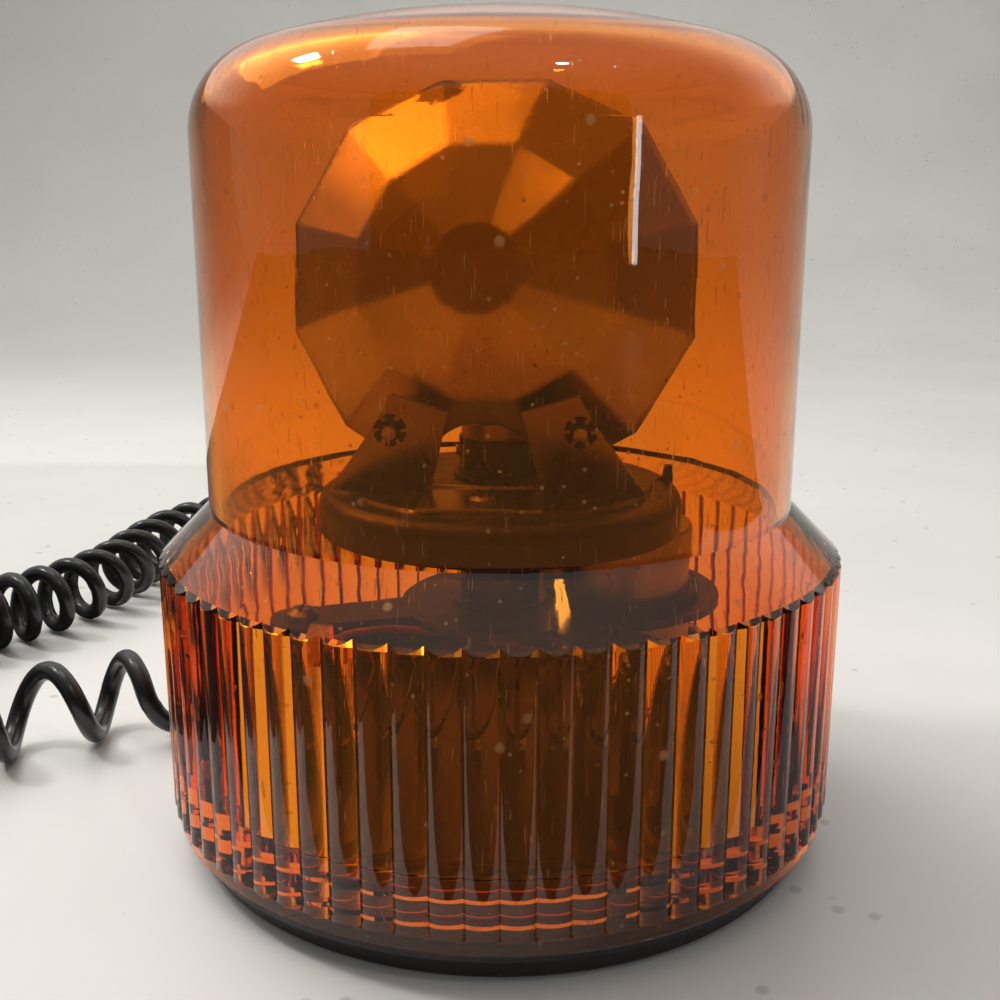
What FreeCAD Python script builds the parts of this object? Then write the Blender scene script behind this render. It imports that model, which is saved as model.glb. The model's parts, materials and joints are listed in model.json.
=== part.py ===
import FreeCAD, Part
import math
import os

# Revolving warning beacon on a magnetic foot, with a curly cord and a lighter-socket plug.
# Millimetres. +Z is up and the origin is the middle of the foot's underside.
# The moulded back of the reflector faces -Y at rest.

Vec = FreeCAD.Vector
UP = Vec(0, 0, 1)
OUT_DIR = "parts"

# ---------------------------------------------------------------- driving dimensions
# lens
LIP_Z = 6.5                # underside of the lens
SKIRT_R = 65.6             # over the crests of the flutes
LIP_R = 64.9
VALLEY_R = 64.6            # between two flutes
FLUTES = 72
FLUTE_Z = LIP_Z + 3.0      # the flutes start here
SHOULDER_Z = LIP_Z + 50.3  # the flutes end here, in a 45 degree shoulder
DOME_R = 55.9              # upper cylinder
DOME_Z = SHOULDER_Z + SKIRT_R - DOME_R
TOP_Z = 154.0
CORNER_R = 15.5
CROWN = 6.0                # rise of the top above the corner's tangent point
WALL = 2.3
STEP_Z = LIP_Z + 13.0      # the skirt is thicker below this line
BORE_R = 61.3              # inside the skirt, round the collar

# screw thread that holds the lens on the collar
PITCH = 4.5
LENS_THREAD_TURNS = 2.0
COLLAR_THREAD_TURNS = 1.5
THREAD_START = 120.0       # degrees

# foot
FOOT_R = 61.0
FLANGE_R = 63.6
FLANGE_Z = 6.2
COLLAR_R = 59.6
COLLAR_WALL = 2.4
COLLAR_Z = 20.0
FLOOR_LOW = 8.0
FLOOR_TOP = 10.5
HOLLOW_R = 55.8
PAD_T = 0.8
PAD_R = 54.0
MAGNET_R = 42.5
MAGNET_BORE_R = 14.0
CUP_T = 1.2
BOSS_R = 4.2
BOSS_PCD_R = 40.0
BOSS_ANGLES = (75, 195, 315)

# deck that carries the motor and the lamp socket
DECK_Z = 40.0
DECK_T = 1.5
DECK_TOP = DECK_Z + DECK_T

# lamp socket, which is also the turntable's post
POST_R = 8.0
POST_BORE_R = 7.6
POST_TOP = 78.0
PIN_Z = 75.0
PIN_R = 1.0
PUSH = 1.8                 # travel of the lamp before it turns
UNLOCK = 22.0              # degrees

# turntable
TABLE_R = 35.5
TABLE_Z = 61.0
TABLE_TOP = 68.5
TABLE_PLATE_TOP = 69.1
TABLE_WALL = 1.9
TABLE_EDGE_R = 3.2
FIN_ANGLE = 4.5
HUB_R = 9.2
RUN_FIT = 0.05

# drive
MODULE = 0.8
RING_TEETH = 78
PINION_TEETH = 12
MOTOR_ANGLE = 15.0
MOTOR_R = 14.0
MOTOR_LOW = 21.5
MOTOR_TOP = 59.5
SHAFT_R = 1.15

# reflector and its bracket
DISH_SIDES = 12
DISH_FLAT_R = 39.1         # centre to flat at the rim
DISH_MID_R = 23.0
DISH_HUB_R = 8.0
DISH_MID_DEPTH = 13.2
DISH_DEPTH = 20.0
DISH_WALL = 1.0
DISH_Z = 107.5
DISH_Y = 3.0
DISH_TILT = 7.5            # degrees, back upwards
DISH_SIDE = -1.9           # of the turntable's axis
DISH_TURN = -4.0           # of the dish in its bracket, degrees
TABLE_TURN = -3.5          # where the turntable stands at rest
NOTCH_R = 12.0
NOTCH_TOP = 27.0           # below the dish's middle
SHEET = 0.8
FOLD_Y = -11.2
FLANGE_SCREW_Y = FOLD_Y - 11.2
LEG_LEAN = 12.0
LEG_LIFT = 0.3             # of the uprights' bottom edge over the turntable
BEND_R = 1.3               # outside of the bracket's fold
STUD_X = 17.4
STUD_Z = 12.2              # up the bracket's upright
STUD_R = 1.3
NUT_R = 3.0

# cord
WIRE_R = 2.2
CURL_R = 10.5
EXIT_ANGLE = 155.0
EXIT_Z = 3.1
NECK_R = 2.7               # of the strain relief, in the foot's wall
CURL_Z = 10.7

MOTOR_C = MODULE * (RING_TEETH - PINION_TEETH) / 2
MOTOR_X = MOTOR_C * math.cos(math.radians(MOTOR_ANGLE))
MOTOR_Y = MOTOR_C * math.sin(math.radians(MOTOR_ANGLE))

# middle line of the curled length, chosen by hand, from the beacon to the plug
CURL_ROUTE = [
    (-66.5, 31.0), (-77.5, 34.0), (-89.0, 31.5), (-102.0, 24.0), (-116.0, 14.5), (-133.0, 8.5),
    (-151.0, 12.5), (-163.0, 27.0), (-166.0, 47.0), (-160.0, 66.5), (-147.0, 84.5), (-131.0, 101.0),
    (-121.0, 124.0), (-118.0, 150.0), (-113.0, 177.0), (-98.0, 196.0), (-75.0, 201.0), (-53.0, 192.0),
]


# ---------------------------------------------------------------- helpers
def export(shape, name):
    """Write one piece, as one solid or a group of separate solids."""
    shape = shape.removeSplitter() if shape.ShapeType != "Compound" else shape
    if not shape.isValid():
        print("not valid:", name)
    shape.exportStep(os.path.join(OUT_DIR, name + ".step"))


def polar(radius, degrees, z=0.0):
    a = math.radians(degrees)
    return Vec(radius * math.cos(a), radius * math.sin(a), z)


def disc(radius, low, high, x=0.0, y=0.0):
    return Part.makeCylinder(radius, high - low, Vec(x, y, low))


def tube(inner, outer, low, high, x=0.0, y=0.0):
    return disc(outer, low, high, x, y).cut(disc(inner, low - 1, high + 1, x, y))


def lathe(outline, x=0.0, y=0.0):
    """Turn a closed outline of (radius, height) about the vertical. A point with a third
    value is the middle of an arc, from the point before it to the point after it."""
    points = [Vec(p[0], 0, p[1]) for p in outline]
    kinds = [len(p) == 3 for p in outline]
    edges = []
    count = len(points)
    i = 0
    while i < count:
        following = (i + 1) % count
        if kinds[following]:
            end = (i + 2) % count
            arc = Part.Arc(points[i], points[following], points[end])
            # an arc that meets the axis is turned as a free curve, so that its pole is clean
            edges.append((arc.toBSpline() if points[end].x == 0 else arc).toShape())
            i += 2
        else:
            edges.append(Part.makeLine(points[i], points[following]))
            i += 1
    solid = Part.Face(Part.Wire(edges)).revolve(Vec(0, 0, 0), UP, 360)
    solid.translate(Vec(x, y, 0))
    return solid


def corner(cx, cz, radius, from_deg, to_deg):
    """Middle and end of an arc about (cx, cz), for use in a lathe outline."""
    mid = math.radians((from_deg + to_deg) / 2)
    end = math.radians(to_deg)
    return [(cx + radius * math.cos(mid), cz + radius * math.sin(mid), "arc"),
            (round(cx + radius * math.cos(end), 6), round(cz + radius * math.sin(end), 6))]


def box(low, high):
    return Part.makeBox(high[0] - low[0], high[1] - low[1], high[2] - low[2], Vec(*low))


def prism(points, vector):
    wire = Part.makePolygon(list(points) + [points[0]])
    return Part.Face(wire).extrude(vector)


def sector(inner, outer, low, high, start, end):
    """Piece of a ring between two directions, in degrees."""
    piece = Part.makeCylinder(outer, high - low, Vec(0, 0, low), UP, end - start)
    piece = piece.cut(disc(inner, low - 1, high + 1))
    piece.rotate(Vec(0, 0, 0), UP, start)
    return piece


def turned(shape, degrees, centre=(0, 0, 0), axis=UP):
    copy = shape.copy()
    copy.rotate(Vec(*centre), axis, degrees)
    return copy


def moved(shape, x=0.0, y=0.0, z=0.0):
    copy = shape.copy()
    copy.translate(Vec(x, y, z))
    return copy


def thread_rib(root_r, crest_r, root_w, crest_w, start_z, turns, start_deg):
    """Helical rib from root_r, inside the wall, to crest_r, with its ends cut square."""
    helix = Part.makeHelix(PITCH, PITCH * turns, root_r)
    section = Part.makePolygon([
        Vec(root_r, 0, -root_w / 2), Vec(crest_r, 0, -crest_w / 2),
        Vec(crest_r, 0, crest_w / 2), Vec(root_r, 0, root_w / 2), Vec(root_r, 0, -root_w / 2)])
    rib = Part.Wire(helix.Edges).makePipeShell([section], True, True)
    rib.rotate(Vec(0, 0, 0), UP, start_deg)
    rib.translate(Vec(0, 0, start_z))
    return rib


def route_path(points):
    """Straight runs joined by arcs as large as the two runs beside each point allow."""
    edges = []
    radii = []
    start = points[0]
    for before, here, after in zip(points, points[1:], points[2:]):
        run_in = here - before
        run_out = after - here
        turn = run_in.getAngle(run_out)
        reach = 0.45 * min(run_in.Length, run_out.Length)
        radii.append(reach / math.tan(turn / 2))
        enter = here - run_in.normalize() * reach
        leave = here + run_out.normalize() * reach
        towards = (enter + leave) * 0.5 - here
        sagitta = radii[-1] / math.cos(turn / 2) - radii[-1]
        edges.append(Part.makeLine(start, enter))
        edges.append(Part.Arc(enter, here + towards.normalize() * sagitta, leave).toShape())
        start = leave
    edges.append(Part.makeLine(start, points[-1]))
    return Part.Wire(edges), radii


def route_tube(points, radius, label=""):
    """Round tube along a route, with its volume checked against section times length."""
    points = [Vec(*p) for p in points]
    path, radii = route_path(points)
    heading = points[1] - points[0]
    ring = Part.Wire(Part.makeCircle(radius, points[0], heading))
    solid = path.makePipeShell([ring], True, True)
    if label:
        expected = math.pi * radius ** 2 * path.Length
        print(label, "length", round(path.Length, 1), "radii", [round(r, 1) for r in radii],
              "volume ratio", round(solid.Volume / expected, 4))
    return solid


# ---------------------------------------------------------------- lens
def scalloped_outline(z):
    """Ring of convex flutes that meet in sharp valleys."""
    arcs = []
    step = 360.0 / FLUTES
    for i in range(FLUTES):
        a = i * step
        arcs.append(Part.Arc(polar(VALLEY_R, a, z), polar(SKIRT_R, a + step / 2, z),
                             polar(VALLEY_R, a + step, z)).toShape())
    return Part.Wire(arcs)


def dome_outline(offset):
    """Outside of the lens above the shoulder, or its inside when offset is the wall."""
    radius = DOME_R - offset
    bend = CORNER_R - offset
    top = TOP_Z - offset
    slope = math.degrees(math.atan(2 * CROWN / (DOME_R - CORNER_R)))
    centre_r = radius - bend
    centre_z = top - CROWN - bend * math.cos(math.radians(slope))
    rise = corner(centre_r, centre_z, bend, 0, 90 - slope)
    edge_r, edge_z = rise[-1]
    crown_r = edge_r / math.sin(math.radians(slope))
    crown_z = edge_z - crown_r * math.cos(math.radians(slope))
    crown = corner(0, crown_z, crown_r, 90 - slope, 90)
    return [(radius, centre_z)] + rise + crown


def make_lens():
    shoulder_in = DOME_Z - WALL * 0.42
    outside = lathe([(0, LIP_Z), (SKIRT_R, LIP_Z), (SKIRT_R, SHOULDER_Z), (DOME_R, DOME_Z)]
                    + dome_outline(0))
    fluted = Part.Face(scalloped_outline(FLUTE_Z)).extrude(Vec(0, 0, TOP_Z))
    lip = lathe([(0, LIP_Z), (LIP_R - 0.4, LIP_Z), (LIP_R, LIP_Z + 0.5),
                 (LIP_R, FLUTE_Z), (0, FLUTE_Z)])
    body = outside.common(fluted.fuse(lip))
    inner_r = VALLEY_R - WALL
    inside = lathe([(0, LIP_Z - 1), (BORE_R, LIP_Z - 1), (BORE_R, STEP_Z - 0.6),
                    (inner_r, STEP_Z), (inner_r, SHOULDER_Z - 1.0),
                    (DOME_R - WALL, shoulder_in)] + dome_outline(WALL))
    body = body.cut(inside)
    rib = thread_rib(BORE_R + 0.3, COLLAR_R + 0.4, 2.1, 1.3, LIP_Z + 2.875,
                     LENS_THREAD_TURNS, THREAD_START)
    lug = turned(box((inner_r - 2.2, -1.7, SHOULDER_Z - 5.0), (inner_r + 0.5, 1.7, SHOULDER_Z + 0.4)),
                 243.5)
    return body.fuse(rib).fuse(lug)


def make_lens_seal():
    return lathe([(COLLAR_R + 0.12, FLANGE_Z + 0.15), (BORE_R - 0.12, FLANGE_Z + 0.15),
                  (BORE_R - 0.12, FLANGE_Z + 1.6), (BORE_R - 0.5, FLANGE_Z + 2.0),
                  (COLLAR_R + 0.12, FLANGE_Z + 2.0)])


# ---------------------------------------------------------------- foot
def make_base_pan():
    outside = lathe([(0, 0), (FOOT_R - 0.8, 0), (FOOT_R, 0.8), (FOOT_R + 0.4, 3.4),
                     (FLANGE_R, 4.9), (FLANGE_R, FLANGE_Z), (COLLAR_R, FLANGE_Z),
                     (COLLAR_R, COLLAR_Z - 0.5), (COLLAR_R - 0.5, COLLAR_Z), (0, COLLAR_Z)])
    upper = disc(COLLAR_R - COLLAR_WALL, FLOOR_TOP, COLLAR_Z + 1)
    under = disc(HOLLOW_R, -1, FLOOR_LOW)
    pan = outside.cut(upper).cut(under)
    for angle in BOSS_ANGLES:
        p = polar(BOSS_PCD_R, angle)
        boss = disc(BOSS_R, FLOOR_TOP - 0.5, DECK_Z, p.x, p.y)
        web = turned(box((BOSS_PCD_R + BOSS_R - 0.6, -0.9, FLOOR_TOP - 0.5),
                         (COLLAR_R - 1.0, 0.9, COLLAR_Z - 3)), angle)
        pan = pan.fuse(boss).fuse(web)
    for angle in BOSS_ANGLES:
        p = polar(BOSS_PCD_R, angle)
        pan = pan.cut(disc(1.3, DECK_Z - 14, DECK_Z + 1, p.x, p.y))
    pan = pan.cut(disc(2.6, -1, FLOOR_TOP + 1))
    side_hole = Part.makeCylinder(NECK_R, 20, Vec(50, 0, EXIT_Z), Vec(1, 0, 0))
    side_hole = side_hole.fuse(Part.makeCylinder(3.0, 20, Vec(FOOT_R + 0.5, 0, EXIT_Z), Vec(1, 0, 0)))
    side_hole = turned(side_hole, EXIT_ANGLE)
    floor_hole = polar(49, EXIT_ANGLE)
    pan = pan.cut(side_hole).cut(disc(3.4, FLOOR_LOW - 1, FLOOR_TOP + 1, floor_hole.x, floor_hole.y))
    rib = thread_rib(COLLAR_R - 0.3, BORE_R - 0.5, 1.6, 0.9, LIP_Z + 5.125,
                     COLLAR_THREAD_TURNS, THREAD_START)
    return pan.fuse(rib)


def make_magnet_parts():
    cup = lathe([(MAGNET_BORE_R - 8, FLOOR_LOW - CUP_T), (MAGNET_R, FLOOR_LOW - CUP_T),
                 (MAGNET_R, PAD_T), (MAGNET_R + CUP_T, PAD_T), (MAGNET_R + CUP_T, FLOOR_LOW),
                 (MAGNET_BORE_R - 8, FLOOR_LOW)])
    export(cup.cut(disc(2.6, 0, 20)), "magnet_cup")
    export(tube(MAGNET_BORE_R, MAGNET_R, PAD_T, FLOOR_LOW - CUP_T), "magnet_ring")
    pad = disc(PAD_R, 0, PAD_T)
    for radius in (20, 30, 40, 50):
        pad = pad.cut(tube(radius, radius + 1.2, -1, 0.3))
    export(pad, "rubber_pad")
    screw = disc(2.5, FLOOR_LOW - CUP_T, FLOOR_TOP + 3.6)
    head = lathe([(0, FLOOR_LOW - CUP_T), (0, 4.0), (4.2, 4.0), (5.2, 5.2),
                  (5.2, FLOOR_LOW - CUP_T)])
    slot = box((-6, -0.6, 3.5), (6, 0.6, 5.0))
    export(screw.fuse(head).cut(slot), "magnet_screw")
    hexagon = [polar(5.0, 60 * i, FLOOR_TOP) for i in range(6)]
    export(prism(hexagon, Vec(0, 0, 3.2)).cut(disc(2.5, 0, 20)), "magnet_nut")


# ---------------------------------------------------------------- deck and lamp socket
def make_deck():
    deck = disc(20, DECK_Z, DECK_TOP).fuse(disc(20.5, DECK_Z, DECK_TOP, MOTOR_X, MOTOR_Y))
    for angle in BOSS_ANGLES:
        p = polar(BOSS_PCD_R, angle)
        arm = turned(box((0, -5.5, DECK_Z), (BOSS_PCD_R, 5.5, DECK_TOP)), angle)
        deck = deck.fuse(arm).fuse(disc(6.5, DECK_Z, DECK_TOP, p.x, p.y))
    for angle in BOSS_ANGLES:
        p = polar(BOSS_PCD_R, angle)
        deck = deck.cut(disc(1.7, DECK_Z - 1, DECK_TOP + 1, p.x, p.y))
    deck = deck.cut(disc(15.2, DECK_Z - 1, DECK_TOP + 1, MOTOR_X, MOTOR_Y))
    return deck.cut(disc(6.5, DECK_Z - 1, DECK_TOP + 1))


def pan_head_screw(x, y, seat, shank_r, head_r, head_h, length):
    screw = disc(shank_r, seat - length, seat, x, y)
    head = lathe([(0, seat), (head_r, seat), (head_r, seat + 0.5 * head_h),
                  (head_r * 0.6, seat + head_h), (0, seat + head_h)], x, y)
    cross = box((x - 0.7 * head_r, y - 0.35, seat + 0.5 * head_h), (x + 0.7 * head_r, y + 0.35, seat + 9))
    return screw.fuse(head).cut(cross).cut(turned(cross, 90, (x, y, 0)))


def make_deck_screws():
    screws = []
    for angle in BOSS_ANGLES:
        p = polar(BOSS_PCD_R, angle)
        screws.append(pan_head_screw(p.x, p.y, DECK_TOP, 1.3, 3.0, 2.2, 12))
    return Part.makeCompound(screws)


def make_bulb_socket():
    socket = tube(POST_BORE_R, POST_R, DECK_TOP, POST_TOP)
    socket = socket.fuse(tube(POST_BORE_R, 9.5, DECK_TOP, DECK_TOP + 0.8))
    half = math.degrees(PIN_R / POST_R) + 2.0
    for start in (0, 180):
        level = sector(5, 9, PIN_Z - PIN_R - PUSH - 0.3, PIN_Z + PIN_R + 0.3,
                       start - half, start + UNLOCK + half)
        entry = sector(5, 9, PIN_Z, POST_TOP + 1, start + UNLOCK - half, start + UNLOCK + half)
        socket = socket.cut(level).cut(entry)
    return socket


def spring(mean_r, wire_r, low, high, turns):
    """Closed-coil spring on the vertical, between two levels."""
    helix = Part.makeHelix((high - low - 2 * wire_r) / turns, high - low - 2 * wire_r, mean_r)
    ring = Part.Wire(Part.makeCircle(wire_r, Vec(mean_r, 0, 0), Vec(0, 1, 0)))
    coil = Part.Wire(helix.Edges).makePipeShell([ring], True, True)
    coil.translate(Vec(0, 0, low + wire_r))
    return coil


def make_socket_parts():
    export(make_bulb_socket(), "bulb_socket")
    export(tube(1.55, POST_BORE_R, 52, 55), "socket_insulator")
    tag = tube(1.9, 4.6, 51.5, 52).fuse(box((4.0, -1.4, 51.5), (6.4, 1.4, 52)))
    tag = tag.fuse(box((5.9, -1.4, 45), (6.4, 1.4, 52)))
    export(tag, "contact_tag")
    plunger = disc(1.5, 48, 63.3).fuse(lathe([(0, 63.3), (3.2, 63.3), (3.2, 64.2), (2.6, 64.8), (0, 64.8)]))
    export(plunger, "contact_plunger")
    export(spring(2.4, 0.35, 55, 63.3, 6), "contact_spring")
    export(tube(POST_R, 11.0, 57.8, TABLE_Z - 0.7), "post_collar")
    clip = tube(POST_R, 9.1, 69.95, 70.65).cut(box((-1.5, 0, 60), (1.5, 12, 80)))
    export(clip, "retaining_clip")


# ---------------------------------------------------------------- lamp
def make_bulb():
    cap = tube(7.1, 7.5, 66.8, 81).fuse(disc(7.5, 66.0, 66.8))
    for sign in (1, -1):
        pin = Part.makeCylinder(PIN_R, 1.4, Vec(sign * 7.2, 0, PIN_Z), Vec(sign, 0, 0))
        cap = cap.fuse(pin)
    nub = lathe([(0, 64.85), (1.8, 64.85), (2.6, 65.5), (2.6, 66.1), (0, 66.1)])
    export(cap.fuse(nub), "bulb_cap")
    ball_z = 100.5
    ball_r = 12.6
    outer = lathe([(0, 79.0), (7.0, 79.0), (7.0, 83.0), (11.3, 94.9)]
                  + corner(0, ball_z, ball_r, -26.4, 90))
    inner = lathe([(0, 80.0), (6.2, 80.0), (6.2, 83.2), (10.5, 95.2)]
                  + corner(0, ball_z, ball_r - 0.8, -26.7, 90))
    export(outer.cut(inner), "bulb_glass")
    mount = lathe([(0, 80.0), (5.6, 80.0), (2.4, 84), (2.2, 92), (0, 92)])
    for sign in (1, -1):
        wire = route_tube([(sign * 1.2, 0, 90), (sign * 1.9, 0.1, 98), (sign * 3.4, 0.2, 106.7)], 0.35)
        mount = mount.fuse(wire)
    export(mount, "bulb_mount")
    helix = Part.makeHelix(0.9, 5.4, 0.75)
    ring = Part.Wire(Part.makeCircle(0.18, Vec(0.75, 0, 0), Vec(0, 1, 0)))
    filament = Part.Wire(helix.Edges).makePipeShell([ring], True, True)
    filament.translate(Vec(0, 0, -2.7))
    filament.rotate(Vec(0, 0, 0), Vec(0, 1, 0), 90)
    filament.translate(Vec(0, 0, 106.4))
    export(filament, "bulb_filament")


# ---------------------------------------------------------------- turntable and gears
def make_turntable():
    """Inverted dish with a rounded edge, a raised middle and a balance fin at its rim."""
    edge = TABLE_R - TABLE_EDGE_R
    outline = [(HUB_R, TABLE_Z - 0.2), (HUB_R + 2.6, TABLE_Z - 0.2), (HUB_R + 2.6, TABLE_TOP - TABLE_WALL),
               (TABLE_R - TABLE_WALL, TABLE_TOP - TABLE_WALL), (TABLE_R - TABLE_WALL, TABLE_Z),
               (TABLE_R, TABLE_Z), (TABLE_R, TABLE_TOP - TABLE_EDGE_R)]
    outline += corner(edge, TABLE_TOP - TABLE_EDGE_R, TABLE_EDGE_R, 0, 90)
    outline += [(30.0, TABLE_TOP), (29.4, TABLE_PLATE_TOP), (HUB_R, TABLE_PLATE_TOP)]
    table = lathe(outline)
    fin = prism([Vec(28.0, -0.8, TABLE_TOP - 0.8), Vec(34.4, -0.8, TABLE_TOP - 1.7), Vec(34.4, -0.8, 71.4),
                 Vec(33.0, -0.8, 71.4), Vec(32.6, -0.8, 69.2), Vec(29.6, -0.8, TABLE_TOP - 0.3)], Vec(0, 1.6, 0))
    screw_hole = disc(1.3, 60, 80, DISH_SIDE, FLANGE_SCREW_Y)
    return table.fuse(turned(fin, FIN_ANGLE - TABLE_TURN)).cut(screw_hole)


def make_bush():
    return lathe([(POST_R + RUN_FIT, TABLE_Z - 0.4), (HUB_R, TABLE_Z - 0.4), (HUB_R, TABLE_PLATE_TOP + 0.5),
                  (POST_R + RUN_FIT, TABLE_PLATE_TOP + 0.5)])


def tooth_flank(teeth, slack, inner, outer, steps=5):
    """Half tooth of an involute gear as (radius, half angle) from inner to outer radius."""
    pitch_r = MODULE * teeth / 2
    base_r = pitch_r * math.cos(math.radians(20))
    at_pitch = math.tan(math.radians(20)) - math.radians(20)
    half = math.pi / (2 * teeth) - slack / pitch_r
    flank = []
    for i in range(steps + 1):
        r = inner + (outer - inner) * i / steps
        roll = math.acos(min(1.0, base_r / r))
        flank.append((r, half + at_pitch - (math.tan(roll) - roll)))
    return flank


def gear_outline(teeth, root, tip, slack, phase, z):
    flank = tooth_flank(teeth, slack, root, tip)
    points = []
    for i in range(teeth):
        middle = 2 * math.pi * i / teeth + phase
        for r, half in flank:
            points.append(Vec(r * math.cos(middle - half), r * math.sin(middle - half), z))
        for r, half in reversed(flank):
            points.append(Vec(r * math.cos(middle + half), r * math.sin(middle + half), z))
    return points


def make_gears():
    """Inside-toothed ring under the turntable, and the motor's pinion in mesh with it."""
    low = 62.0
    high = TABLE_TOP - TABLE_WALL
    ring_pitch = MODULE * RING_TEETH / 2
    line = math.radians(MOTOR_ANGLE)
    # the gaps between the ring's teeth have a gear tooth's shape, made a little wider
    gaps = gear_outline(RING_TEETH, ring_pitch - 0.9 * MODULE, ring_pitch + 1.15 * MODULE, -0.09, line, low)
    ring = tube(ring_pitch - 0.9 * MODULE + 0.01, TABLE_R - TABLE_WALL, low, high)
    ring = ring.cut(prism(gaps, Vec(0, 0, high - low)))
    export(ring, "ring_gear")
    pinion_pitch = MODULE * PINION_TEETH / 2
    teeth = gear_outline(PINION_TEETH, pinion_pitch - 1.1 * MODULE, pinion_pitch + 0.85 * MODULE, 0.09,
                         line, low + 0.2)
    pinion = prism(teeth, Vec(0, 0, high - low - 0.6))
    pinion = pinion.cut(disc(SHAFT_R, 0, 99))
    pinion.translate(Vec(MOTOR_X, MOTOR_Y, 0))
    export(pinion, "drive_pinion")


# ---------------------------------------------------------------- motor
def make_motor():
    x, y = MOTOR_X, MOTOR_Y
    can = lathe([(13.2, MOTOR_LOW), (MOTOR_R, MOTOR_LOW), (MOTOR_R, MOTOR_TOP - 1.5)]
                + corner(MOTOR_R - 1.5, MOTOR_TOP - 1.5, 1.5, 0, 90)
                + [(4.5, MOTOR_TOP), (4.5, MOTOR_TOP + 1.0), (3.0, MOTOR_TOP + 1.0),
                   (3.0, MOTOR_TOP - 0.8), (13.2, MOTOR_TOP - 0.8)], x, y)
    export(can, "motor_can")
    export(tube(SHAFT_R + RUN_FIT, 3.0, MOTOR_TOP - 2.5, MOTOR_TOP + 1.0, x, y), "motor_bush")
    cap = tube(2.6, 13.2, MOTOR_LOW, MOTOR_LOW + 2.0, x, y)
    cap = cap.fuse(lathe([(SHAFT_R + RUN_FIT, 19.8), (4.0, 19.8), (4.0, MOTOR_LOW + 0.1),
                          (4.0, MOTOR_LOW + 2.0), (SHAFT_R + RUN_FIT, MOTOR_LOW + 2.0)], x, y))
    for sign in (1, -1):
        cap = cap.cut(box((x - 1.5, y + sign * 9 - 0.25, 0), (x + 1.5, y + sign * 9 + 0.25, 40)))
    export(cap, "motor_end_cap")
    tabs = []
    for sign in (1, -1):
        tabs.append(box((x - 1.5, y + sign * 9 - 0.25, 15.5), (x + 1.5, y + sign * 9 + 0.25, 24.5)))
    export(Part.makeCompound(tabs), "motor_terminals")
    magnets = []
    for start in (100, -80):
        arc = sector(10.4, 13.2, 29, 52, start, start + 140)
        magnets.append(moved(arc, x, y))
    export(Part.makeCompound(magnets), "motor_magnets")
    armature = disc(9.8, 31, 50)
    for i in range(3):
        slot = turned(box((3.4, -1.0, 30), (12, 1.0, 51)), 120 * i)
        armature = armature.cut(slot)
    armature = armature.cut(disc(SHAFT_R, 0, 99))
    export(moved(armature, x, y), "motor_armature")
    export(tube(SHAFT_R, 3.2, 25, 30, x, y), "motor_commutator")
    export(disc(SHAFT_R, 20.3, TABLE_TOP - TABLE_WALL - 0.4, x, y), "motor_shaft")
    grommet = lathe([(MOTOR_R, DECK_Z - 1.8), (17.0, DECK_Z - 1.8), (17.0, DECK_Z), (15.2, DECK_Z),
                     (15.2, DECK_TOP), (16.4, DECK_TOP), (16.4, DECK_TOP + 1.8), (MOTOR_R, DECK_TOP + 1.8)],
                  x, y)
    export(grommet, "motor_grommet")


# ---------------------------------------------------------------- reflector
def dish_wire(flat_r, y):
    corner_r = flat_r / math.cos(math.pi / DISH_SIDES)
    points = []
    for i in range(DISH_SIDES + 1):
        a = math.radians(15 + 360.0 * i / DISH_SIDES)
        points.append(Vec(corner_r * math.cos(a), y, corner_r * math.sin(a)))
    return Part.makePolygon(points)


def place_on_table(shape, tilt):
    """Carry a shape from the dish's frame to its place, and turn it with the turntable."""
    shape.rotate(Vec(0, 0, 0), Vec(1, 0, 0), -tilt)
    shape.rotate(Vec(0, 0, 0), UP, DISH_TURN)
    shape.translate(Vec(DISH_SIDE, DISH_Y, DISH_Z))
    shape.rotate(Vec(0, 0, 0), UP, TABLE_TURN)
    return shape


def place_on_leg(shape):
    """Carry a shape from the frame of the bracket's uprights, whose outside is y = -SHEET."""
    shape.rotate(Vec(0, 0, 0), Vec(1, 0, 0), LEG_LEAN)
    shape.translate(Vec(DISH_SIDE, FOLD_Y, TABLE_PLATE_TOP + LEG_LIFT))
    shape.rotate(Vec(0, 0, 0), UP, TABLE_TURN)
    return shape


def stud(sign, radius, start, end):
    """Round bar square to an upright, through its hole."""
    bar = Part.makeCylinder(radius, start - end, Vec(sign * STUD_X, start, STUD_Z), Vec(0, -1, 0))
    return place_on_leg(bar)


def make_reflector():
    rim = dish_wire(DISH_FLAT_R, 0)
    middle = dish_wire(DISH_MID_R, -DISH_MID_DEPTH)
    hub = dish_wire(DISH_HUB_R, -DISH_DEPTH)
    outer_ring = Part.makeLoft([rim, middle], True, True)
    inner_ring = Part.makeLoft([middle, hub], True, True)
    block = outer_ring.fuse(inner_ring)
    dish = block.cut(moved(block, 0, DISH_WALL, 0))
    arch_z = -NOTCH_TOP - NOTCH_R
    notch = box((-NOTCH_R, -30, -60), (NOTCH_R, 10, arch_z))
    notch = notch.fuse(Part.makeCylinder(NOTCH_R, 40, Vec(0, -30, arch_z), Vec(0, 1, 0)))
    dish = dish.cut(notch)
    dish = place_on_table(dish, DISH_TILT)
    inside = place_on_table(moved(block, 0, DISH_WALL * 0.5, 0), DISH_TILT)
    for sign in (1, -1):
        dish = dish.fuse(stud(sign, STUD_R, 9.6, -SHEET - 1.8).cut(inside))
    return dish


def leg_outline(sign, y):
    """One upright of the bracket, in its own frame."""
    outline = [(10.4, 0), (29.6, 0), (19.6, 14.0), (16.9, 19.2), (6.6, 15.8)]
    return [Vec(sign * px, y, pz) for px, pz in outline]


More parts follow.
